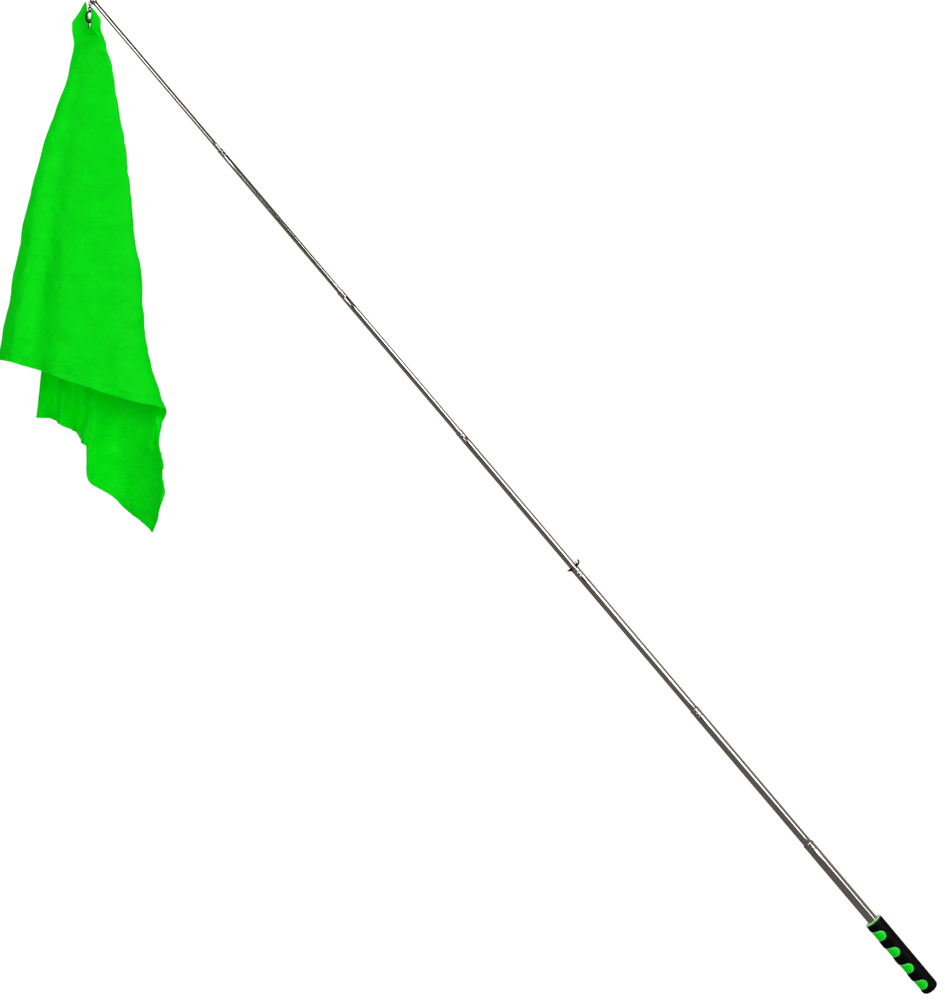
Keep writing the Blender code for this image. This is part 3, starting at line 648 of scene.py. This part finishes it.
# ------------------------------------------------ grommet
def make_grommet():
    inner, outer = HOLE_RADIUS, HOLE_RADIUS + BARREL_WALL
    face = CLOTH / 2 + GAP
    back = face + FLANGE
    roll = [(inner + 0.25 * MM, back + 0.12 * MM), (inner + 0.8 * MM, back + 0.2 * MM),
            (FLANGE_RADIUS - 0.5 * MM, back), (FLANGE_RADIUS, face + 0.15 * MM),
            (FLANGE_RADIUS - 0.1 * MM, face), (outer, face), (outer, -back), (inner, -back),
            (inner, back - 0.25 * MM)]
    shown("grommet_shell", turned(softened(roll, 0.2 * MM, 4), 96), NICKEL_PAINTED_GREEN_REFLECTION, "flag",
          "grommet_eyelet", FACE_TURN)
    ring = [(FLANGE_RADIUS, -face), (FLANGE_RADIUS, -face - 0.15 * MM), (outer + GAP + 0.4 * MM, -back),
            (outer + GAP, -back), (outer + GAP, -face)]
    shown("grommet_ring", turned(softened(ring, 0.1 * MM, 3), 96), NICKEL_PAINTED_GREEN_REFLECTION, "flag",
          "grommet_washer", FACE_TURN)


# ------------------------------------------------ flag
# The cloth hangs as a cone of pleats about the grommet. A line from the grommet is named by its
# angle on the flat cloth: (angle, lean to the right, depth behind the hook), in degrees.
FOLDS = [(-2.8, -14.9, -1.8), (3, -12.3, -3.8), (9, -9.0, -2.4), (15, -4.5, -4.2), (21.5, 2.2, -3.0),
         (25.5, 6.4, -2.2), (28.5, 10.3, 0.4), (32.5, 9.7, 4.2), (36, 9.0, 2.0), (40, 9.4, 5.2),
         (43.8, 9.5, 2.2),
         (48.2, 8.9, 3.6), (53.2, 3.3, 5.4), (58.2, 0.0, 2.4), (63.8, -0.3, 6.0), (69.5, -0.6, 2.0),
         (75.5, -2.8, 6.2), (81.5, -4.6, 2.4), (87, -6.6, 6.0), (92.5, -8.4, 3.0)]
# Lean of the left edge and of the right-hand fold at a distance from the grommet, in mm and degrees
LEFT_LEAN = [(75, -22.5), (120, -21.4), (187, -19.9), (305, -17.0), (424, -15.1), (700, -15.1)]
RIGHT_LEAN = [(75, 24.0), (107, 18.6), (218, 13.1), (329, 10.8), (385, 10.0), (452, 10.3), (482, 10.7),
              (521, 9.2), (549, 9.8), (563, 9.0), (582, 9.5), (611, 8.4), (640, 8.0), (700, 8.0)]
# The gathered corner: the same cloth in plan beside the grommet, (angle, x, y) in mm, at four heights
GATHER_ANGLES = [-2.8, 10, 21.5, 28.5, 37.4, 48.2, 58.2, 69.5, 80, 92.5]
BESIDE = [(-23, 6.5), (-14, 7.4), (-6.5, 7.2), (-3.9, 7.0), (-1.56, 2.8), (1.17, -2.1), (3.9, -7.0),
          (6.5, -7.8), (10, -7.5), (14.5, -6.5)]
BELOW = [(-20.5, 5), (-12, 1.5), (-2, -3), (9, -6.5), (16, -7.2), (19, -5), (20, -2), (19.5, 1.5),
         (18.5, 5.5), (16, 9)]
LOWER = [(-24.5, 1), (-14, -3), (3, -5.5), (23, -4), (26.5, 1), (21, 4.5), (13, 6.5), (6, 8.5), (0, 9.5),
         (-8, 10)]
TOP_HEIGHTS = [4, 17, 29, 15, 7.5, 7.5, 17.5, 16, 11.5, 4]
CONE_START = 75 * MM
COLUMNS = 190
ROWS_EACH = 8                      # rows of cloth between two control points
CORNER_ROWS = 3 * ROWS_EACH        # rows of the gathered corner, down to 27 mm from the grommet


def along(table, value):
    """Smooth value from a table of (place, value, ...) rows, by Catmull-Rom on the place."""
    places = [row[0] for row in table]
    k = min(max(np.searchsorted(places, value) - 1, 0), len(table) - 2)
    rows = [np.array(table[min(max(k + i, 0), len(table) - 1)][1:], float) for i in (-1, 0, 1, 2)]
    t = min(1.0, max(0.0, (value - places[k]) / (places[k + 1] - places[k])))
    a, b, c, d = rows
    return 0.5 * (2 * b + (c - a) * t + (2 * a - 5 * b + 4 * c - d) * t * t
                  + (3 * b - a - 3 * c + d) * t ** 3)


def hem_reach(angle):
    """Distance from the grommet to the hem along a line of the flat cloth."""
    turn = math.radians(angle)
    return min((FLAG_SHORT - CORNER) / max(math.cos(turn), 1e-6),
               (FLAG_LONG - CORNER) / max(math.sin(turn), 1e-6))


def creased(angle):
    """Share of a flat length that is left when it hangs in creases, by pleat line."""
    return 0.968 + 0.012 * (1 - smoothly(0, 15, angle)) + 0.034 * smoothly(50, 80, angle)


def cone_point(angle, reach):
    """Where a point of the hanging cloth is, relative to the grommet."""
    reach *= creased(angle)
    lean, depth = along(FOLDS, angle)
    left, right = along(LEFT_LEAN, reach / MM)[0], along(RIGHT_LEAN, reach / MM)[0]
    share = (lean - FOLDS[0][1]) / (FOLDS[6][1] - FOLDS[0][1])
    lean = math.radians(left + (right - left) * share)
    depth = math.radians(depth) * (0.75 + 0.25 * smoothly(100 * MM, 400 * MM, reach))
    return np.array([math.sin(lean) * math.cos(depth), math.sin(depth),
                     -math.cos(lean) * math.cos(depth)]) * reach


def gather_point(plan, height, angle):
    x, y = along([(a, *p) for a, p in zip(GATHER_ANGLES, plan)], angle)
    return np.array([x * MM, y * MM, height])


def cloth_grid():
    """Rows of points from the corner's edge down to the hem, with each point's place on the flat cloth."""
    angles = np.linspace(FOLDS[0][0], FOLDS[-1][0], COLUMNS + 1)
    columns, flats = [], []
    for angle in angles:
        top = along(list(zip(GATHER_ANGLES, TOP_HEIGHTS)), angle)[0] * MM
        reach = hem_reach(angle)
        controls = [gather_point(BESIDE, top, angle), gather_point(BESIDE, 0.3 * top, angle),
                    gather_point(BESIDE, -8 * MM, angle), gather_point(BELOW, -25 * MM, angle),
                    gather_point(LOWER, -48 * MM, angle)]
        radii = [-top, -0.3 * top, 8 * MM, 27 * MM, 50 * MM]
        for share in np.linspace(0, 1, 13):
            radius = CONE_START + (reach - CONE_START) * share
            controls.append(cone_point(angle, radius))
            radii.append(radius)
        fine = curve_through(controls, ROWS_EACH)
        spread = [float(r[0]) for r in curve_through([[r] for r in radii], ROWS_EACH)]
        turn = math.radians(angle)
        columns.append(fine)
        flats.append([(r * math.cos(turn), r * math.sin(turn)) for r in spread])
    return np.array(columns), np.array(flats)


def ruffle(points, flats):
    """Soft creases that run with the cloth, and a tighter pucker along the hem."""
    across = np.gradient(points, axis=0)
    down = np.gradient(points, axis=1)
    normals = np.cross(across, down)
    normals /= np.linalg.norm(normals, axis=2, keepdims=True) + 1e-12
    out = points.copy()
    for i in range(points.shape[0]):
        for j in range(points.shape[1]):
            x, y = flats[i, j]
            radius = math.hypot(x, y)
            edge = min(FLAG_SHORT - CORNER - x, FLAG_LONG - CORNER - y)
            fade = smoothly(30 * MM, 140 * MM, radius)
            broad = noise.noise(Vector((x * 11, y * 11, 3.1))) * 3.5 * MM
            ridge = 1 - abs(noise.noise(Vector((x * 17 + y * 5, y * 9, 5.2)))) * 2
            fine = noise.noise(Vector((x * 40 + y * 12, y * 30, 7.7))) * 1.7 * MM + ridge * 2.6 * MM
            tiny = noise.noise(Vector((x * 95, y * 80, 9.4))) * 0.6 * MM
            near_hem = 1 - smoothly(4 * MM, 30 * MM, edge)
            pucker = noise.noise(Vector((x * 75, y * 75, 1.3))) * 1.8 * MM * near_hem
            out[i, j] += normals[i, j] * fade * (broad + fine + tiny + pucker)
    return out, normals


def make_flag():
    """The cloth as one closed sheet with a thicker hem and a hole for the grommet."""
    points, flats = cloth_grid()
    points, normals = ruffle(points, flats)
    edge = np.minimum(FLAG_SHORT - CORNER - flats[:, :, 0], FLAG_LONG - CORNER - flats[:, :, 1])
    half = np.where(edge < HEM, HEM_HALF, CLOTH_HALF)[:, :, None]
    centre = np.array(GROMMET)
    sides = [points + normals * half + centre, points - normals * half + centre]
    shell = bmesh.new()
    layer = shell.loops.layers.uv.new("flat")
    grids = [[[shell.verts.new(p) for p in column] for column in side] for side in sides]
    wide, tall = points.shape[:2]
    place = {}
    for grid in grids:
        for i in range(wide):
            for j in range(tall):
                place[grid[i][j]] = flats[i, j]
    for grid, flip in zip(grids, (False, True)):
        for i in range(wide - 1):
            for j in range(tall - 1):
                corners = (grid[i][j], grid[i][j + 1], grid[i + 1][j + 1], grid[i + 1][j])
                shell.faces.new(tuple(reversed(corners)) if flip else corners)
    rim = ([(i, 0) for i in range(wide)] + [(wide - 1, j) for j in range(1, tall)]
           + [(i, tall - 1) for i in range(wide - 2, -1, -1)] + [(0, j) for j in range(tall - 2, 0, -1)])
    for (i, j), (k, m) in zip(rim, rim[1:] + rim[:1]):
        shell.faces.new((grids[0][i][j], grids[0][k][m], grids[1][k][m], grids[1][i][j]))
    for face in shell.faces:
        for loop in face.loops:
            loop[layer].uv = place[loop.vert]
    hole = turned([(0, 3 * MM), (HOLE_RADIUS + BARREL_WALL + 0.2 * MM, 3 * MM),
                   (HOLE_RADIUS + BARREL_WALL + 0.2 * MM, -3 * MM), (0, -3 * MM)], 64, closed=False)
    hole.transform(FACE_TURN)
    bmesh.ops.recalc_face_normals(shell, faces=shell.faces)
    shell = modified(shell, ("BOOLEAN", {"operation": "DIFFERENCE", "solver": "EXACT", "object": hole}))
    flag = shown("cloth_flag", shell, GREEN_CLOTH, "flag", "flag", sharp=60)
    stitches = make_stitches(points + centre, normals, flats)


def make_stitches(points, normals, flats):
    """A row of thread along the inner side of the hem, on both sides of the cloth."""
    wide, tall = points.shape[:2]
    radii = np.hypot(flats[:, :, 0], flats[:, :, 1])
    angles = np.degrees(np.arctan2(flats[:, -1, 1], flats[:, -1, 0]))
    inset = HEM - STITCH_INSET
    right, low = FLAG_SHORT - CORNER - inset, FLAG_LONG - CORNER - inset
    count_down, count_across = int((low + CORNER) / STITCH_PITCH), int((right + CORNER) / STITCH_PITCH)
    places = [(right, -CORNER + 6 * MM + (low + CORNER - 6 * MM) * k / count_down)
              for k in range(count_down + 1)]
    places += [(right - (right + CORNER - 6 * MM) * k / count_across, low)
               for k in range(1, count_across + 1)]

    def on_cloth(x, y):
        angle, radius = math.degrees(math.atan2(y, x)), math.hypot(x, y)
        i = min(max(np.interp(angle, angles, np.arange(wide)), 0), wide - 1.001)
        near = int(i)
        found = []
        for column in (near, near + 1):
            row = np.interp(radius, radii[column, CORNER_ROWS:], np.arange(CORNER_ROWS, tall))
            row = min(max(row, 0), tall - 1.001)
            k, t = int(row), row - int(row)
            found.append([a[column, k] * (1 - t) + a[column, k + 1] * t for a in (points, normals)])
        t = i - near
        return [a * (1 - t) + b * t for a, b in zip(*found)]

    shell = bmesh.new()
    for (x0, y0), (x1, y1) in zip(places, places[1:]):
        (a, way), (b, _) = on_cloth(x0, y0), on_cloth(x0 + (x1 - x0) * 0.72, y0 + (y1 - y0) * 0.72)
        if np.linalg.norm(b - a) < 0.8 * MM:
            continue
        for side in (-1, 1):
            lift = way * side * 0.5 * MM
            swept(shell, [a + lift * 0.8, (a + b) / 2 + lift * 1.25, b + lift * 0.8], STITCH_RADIUS, 6)
    return shown("hem_stitches", shell, GREEN_THREAD, "flag", None, sharp=180)


# ------------------------------------------------ CAD nodes that stay
def dress_kept_nodes():
    kept = {"base_plug": BLACK_PLASTIC, "gate_pin": BALL_STEEL}
    kept.update({f"friction_sleeve_{n}": BRONZE for n in range(2, 8)})
    for name, material in kept.items():
        dress(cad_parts[name], material)


# ------------------------------------------------ camera, light and stage
CAMERA_DISTANCE, VIEW_SIDE = 3.0, 1.2282       # VIEW_SIDE is the picture's longer side, at the pole
VIEW_X, VIEW_Z = -0.5644, 0.6018               # what the picture's centre looks at


def make_camera():
    """Level, square on to the pole's plane, as far back as a product photographer would stand."""
    data = bpy.data.cameras.new("camera")
    data.sensor_width = 36
    data.lens = data.sensor_width * CAMERA_DISTANCE / VIEW_SIDE
    camera = bpy.data.objects.new("camera", data)
    bpy.context.scene.collection.objects.link(camera)
    camera.location = (VIEW_X, -CAMERA_DISTANCE, VIEW_Z)
    camera.rotation_euler = (math.pi / 2, 0, 0)
    bpy.context.scene.camera = camera


def softbox(name, where, target, size, power):
    """A rectangular soft light that faces its target."""
    data = bpy.data.lights.new(name, "AREA")
    data.shape = "RECTANGLE"
    data.size, data.size_y = size
    data.energy = power
    box = bpy.data.objects.new(name, data)
    bpy.context.scene.collection.objects.link(box)
    box.location = where
    way = Vector(target) - Vector(where)
    box.rotation_euler = way.to_track_quat("-Z", "Y").to_euler()


def stage_sheet(name, half, place):
    """A square sheet that faces up and isn't part of the object."""
    shell = bmesh.new()
    bmesh.ops.create_grid(shell, x_segments=1, y_segments=1, size=half)
    mesh = bpy.data.meshes.new(name)
    shell.to_mesh(mesh)
    shell.free()
    sheet = bpy.data.objects.new(name, mesh)
    bpy.context.scene.collection.objects.link(sheet)
    sheet.location = place
    return sheet


FLOOR_SEEN, FLOOR_THROWN = 0.9, 0.14           # the floor's own light: to the camera, and onto the object
BACKDROP_SEEN, SKY_THROWN = 1.05, 0.22         # the same for the surroundings


def make_floor():
    """Plain: white to the camera, and an even, lower light onto the object."""
    low, _ = CAD_BOX
    floor = stage_sheet("floor", 9.0, (-0.5, 0, low.z - 4 * MM))
    pale = bpy.data.materials.new("pale_floor")
    pale.use_nodes = True
    tree = pale.node_tree
    shader = tree.nodes["Principled BSDF"]
    shader.inputs["Base Color"].default_value = (0.6, 0.6, 0.6, 1)
    shader.inputs["Roughness"].default_value = 0.9
    shader.inputs["Emission Color"].default_value = (1, 1, 1, 1)
    shader.inputs["Emission Strength"].default_value = FLOOR_SEEN
    thrown = node(tree, "ShaderNodeEmission", {"Strength": FLOOR_THROWN})
    seen = node(tree, "ShaderNodeLightPath").outputs["Is Camera Ray"]
    mixed = node(tree, "ShaderNodeMixShader", {0: seen, 1: thrown.outputs["Emission"],
                                               2: shader.outputs["BSDF"]})
    tree.links.new(mixed.outputs["Shader"], tree.nodes["Material Output"].inputs["Surface"])
    floor.data.materials.append(pale)


def make_surroundings():
    """White to the camera. To the object, a soft grey that is black straight in front of it."""
    scene = bpy.context.scene
    scene.view_settings.view_transform = "Standard"
    scene.world = bpy.data.worlds.new("studio")
    scene.world.use_nodes = True
    tree = scene.world.node_tree
    sky = tree.nodes["Background"]
    way = node(tree, "ShaderNodeTexCoord").outputs["Generated"]
    parts = node(tree, "ShaderNodeSeparateXYZ", {"Vector": way})
    ramp = node(tree, "ShaderNodeMapRange", {"Value": parts.outputs["Y"],
                                             "From Min": -0.94, "From Max": -0.88,
                                             "To Min": 0.0, "To Max": SKY_THROWN})
    seen = node(tree, "ShaderNodeLightPath").outputs["Is Camera Ray"]
    level = node(tree, "ShaderNodeMix", {"Factor": seen, "A": ramp.outputs["Result"], "B": BACKDROP_SEEN},
                 data_type="FLOAT")
    tree.links.new(level.outputs["Result"], sky.inputs["Strength"])
    sky.inputs["Color"].default_value = (1, 1, 1, 1)


def make_dark_card():
    """A black card above the pole, which polished steel mirrors and the camera doesn't see."""
    card = stage_sheet("dark_card", 0.75, (-0.5, 0.1, 1.85))
    card.visible_camera = False
    matt = bpy.data.materials.new("matt_black")
    matt.use_nodes = True
    shader = matt.node_tree.nodes["Principled BSDF"]
    shader.inputs["Base Color"].default_value = (0.004, 0.004, 0.004, 1)
    shader.inputs["Roughness"].default_value = 1.0
    card.data.materials.append(matt)


def make_lights():
    """Two soft lights above and in front of the pole, and one on the flag."""
    across = Vector((math.sin(LEAN), 0, math.cos(LEAN)))
    front = Vector((0, -1, 0))
    for name, target, height, distance, size, power in (
            ("key", ALONG * 0.45, math.radians(40), 2.2, (1.6, 1.5), 24),
            ("strip", ALONG * 1.25, math.radians(50), 2.4, (0.8, 0.35), 6)):
        way = front * math.cos(height) + across * math.sin(height)
        softbox(name, target + way * distance, target, size, power)
    softbox("flag_fill", (-1.7, -2.2, 1.5), (-1.05, 0, 0.95), (1.0, 1.0), 15)


make_camera()
make_floor()
make_surroundings()
make_dark_card()
make_lights()
make_grip()
for tube_number in range(1, 8):
    make_tube(tube_number)
make_tip()
make_link()
make_hook()
make_grommet()
make_clip()
make_flag()
dress_kept_nodes()
